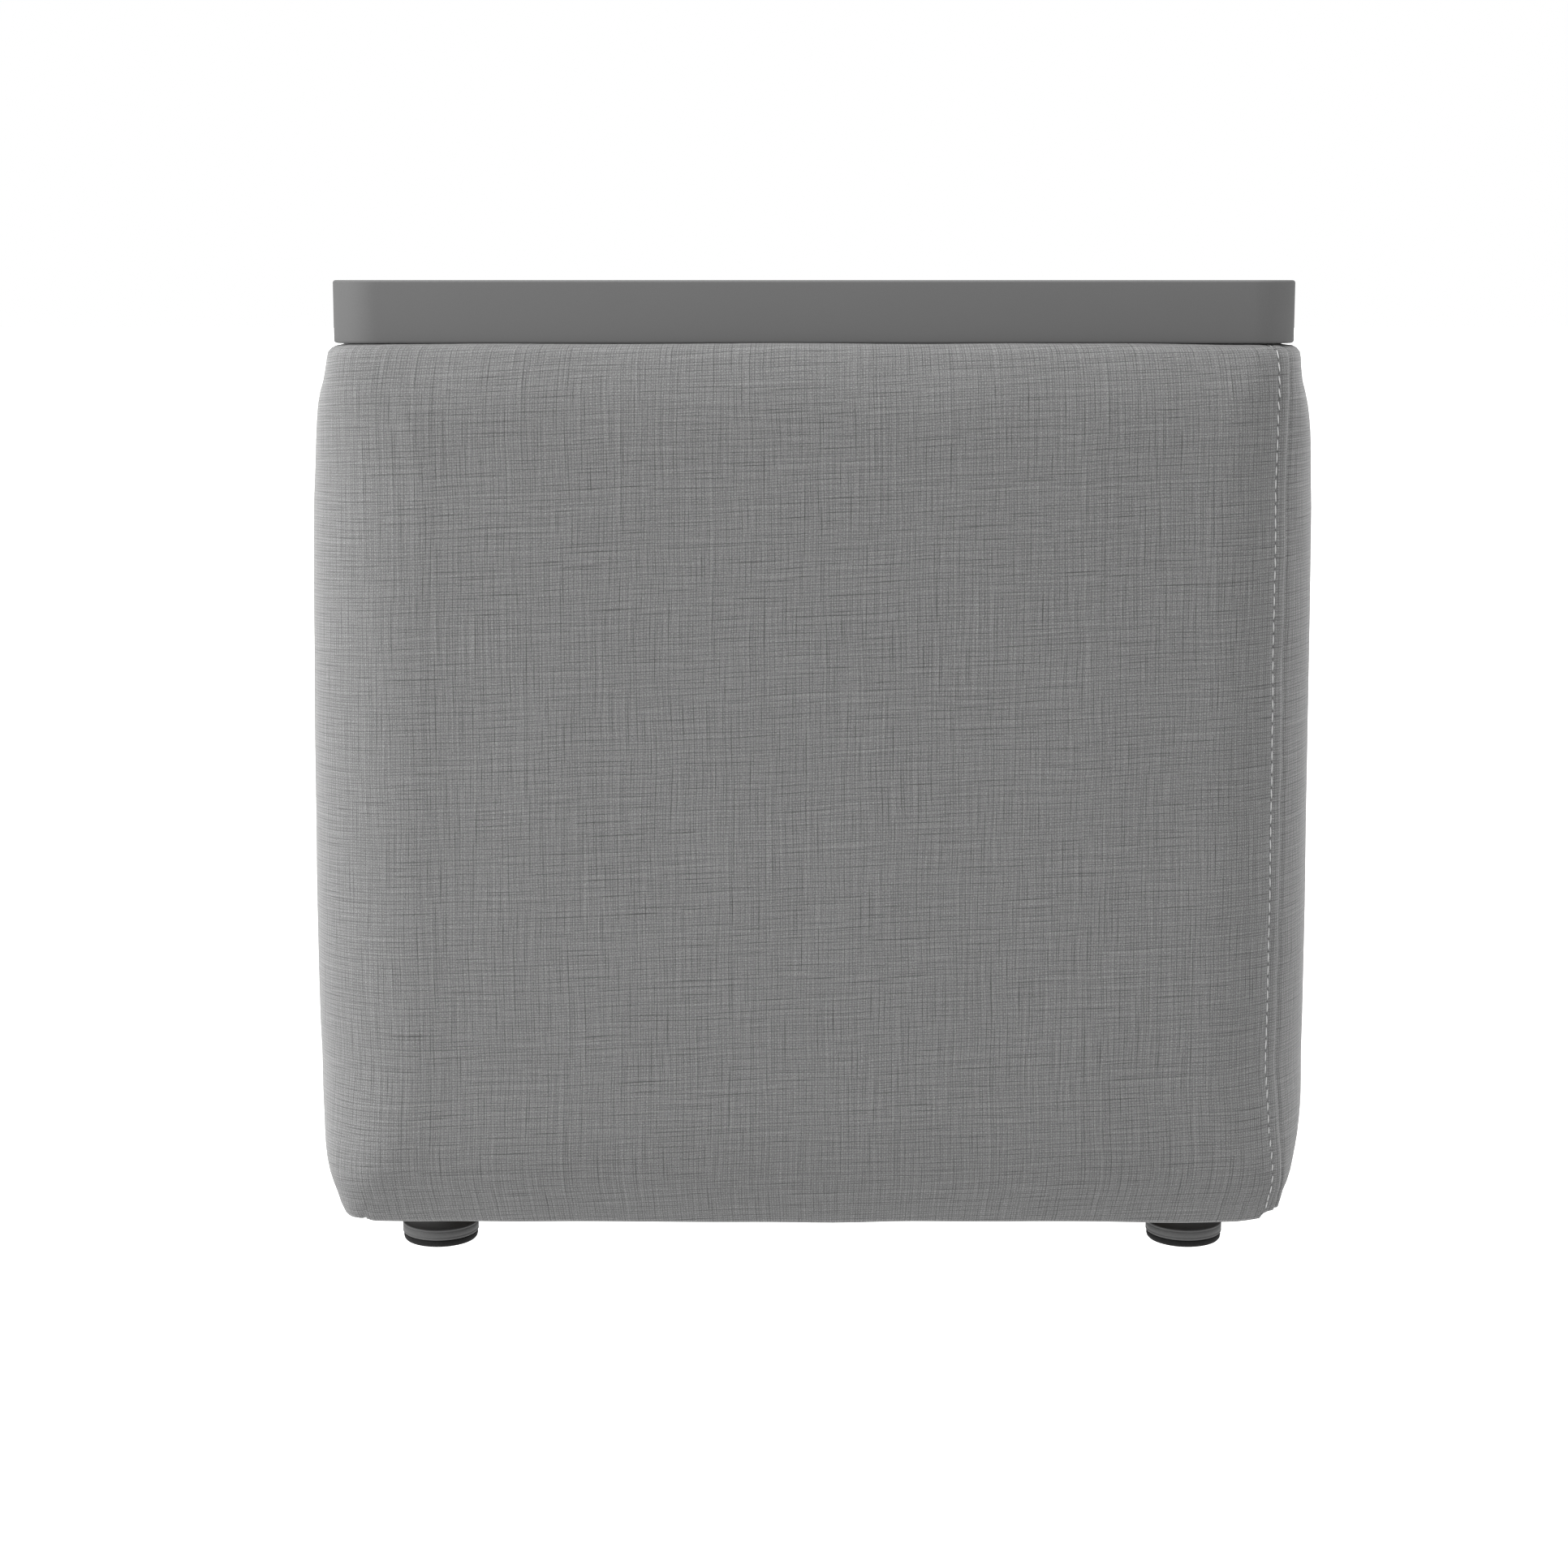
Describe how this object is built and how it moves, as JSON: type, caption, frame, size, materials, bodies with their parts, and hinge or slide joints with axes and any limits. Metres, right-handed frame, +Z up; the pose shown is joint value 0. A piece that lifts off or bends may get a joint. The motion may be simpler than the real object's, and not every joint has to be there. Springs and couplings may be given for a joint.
{
  "type": "ottoman with storage",
  "caption": "Square upholstered storage ottoman: a foam-padded box in grey woven fabric on short round glides, with a flat hard grey lid that lifts off.",
  "frame": {"origin": "centre of the footprint, at the level of the glides' undersides", "axes": "+Z up, along the way the lid lifts; the front faces -Y; +X is to the right of someone looking at the front"},
  "size_m": [0.459, 0.459, 0.45],
  "materials": {
    "cover_fabric": "woven, mid-grey with darker slub yarns",
    "liner_fabric": "dark grey felt lining",
    "dust_fabric": "black non-woven sheet",
    "grip_tape": "hook-and-loop tape",
    "pad_foam": "open-cell upholstery foam",
    "case_board": "plain board, unfinished",
    "lid_plastic": "fine matt, grey",
    "foot_plastic": "satin, dark grey",
    "foot_rubber": "black",
    "screw_steel": "plain zinc-plated steel"
  },
  "bodies": {
    "case": {"base_board": "case_board", "base_screw_back": "screw_steel", "base_screw_front": "screw_steel", "base_screw_left": "screw_steel", "base_screw_right": "screw_steel", "cover_grip_back": "grip_tape", "cover_grip_front": "grip_tape", "cover_grip_left": "grip_tape", "cover_grip_right": "grip_tape", "dust_cover": "dust_fabric", "fabric_cover": "cover_fabric", "foam_back": "pad_foam", "foam_front": "pad_foam", "foam_left": "pad_foam", "foam_right": "pad_foam", "foot_disc_back_left": "foot_plastic", "foot_disc_back_right": "foot_plastic", "foot_disc_front_left": "foot_plastic", "foot_disc_front_right": "foot_plastic", "foot_pad_back_left": "foot_rubber", "foot_pad_back_right": "foot_rubber", "foot_pad_front_left": "foot_rubber", "foot_pad_front_right": "foot_rubber", "foot_screw_back_left": "screw_steel", "foot_screw_back_right": "screw_steel", "foot_screw_front_left": "screw_steel", "foot_screw_front_right": "screw_steel", "storage_liner": "liner_fabric", "wall_back": "case_board", "wall_front": "case_board", "wall_left": "case_board", "wall_right": "case_board", "wall_screw_back_left_high": "screw_steel", "wall_screw_back_left_low": "screw_steel", "wall_screw_back_right_high": "screw_steel", "wall_screw_back_right_low": "screw_steel", "wall_screw_front_left_high": "screw_steel", "wall_screw_front_left_low": "screw_steel", "wall_screw_front_right_high": "screw_steel", "wall_screw_front_right_low": "screw_steel"},
    "lid": {"lid_board": "case_board", "lid_bumper_back_left": "foot_rubber", "lid_bumper_back_right": "foot_rubber", "lid_bumper_front_left": "foot_rubber", "lid_bumper_front_right": "foot_rubber", "lid_rail_back": "case_board", "lid_rail_front": "case_board", "lid_rail_left": "case_board", "lid_rail_right": "case_board", "lid_screw_back": "screw_steel", "lid_screw_front": "screw_steel", "lid_screw_left": "screw_steel", "lid_screw_right": "screw_steel", "lid_shell": "lid_plastic"}
  },
  "joints": [
    {"name": "lid_lift", "type": "slide", "parent": "case", "child": "lid", "axis": [0, 0, 1], "range_m": [0, 0.25]}
  ]
}
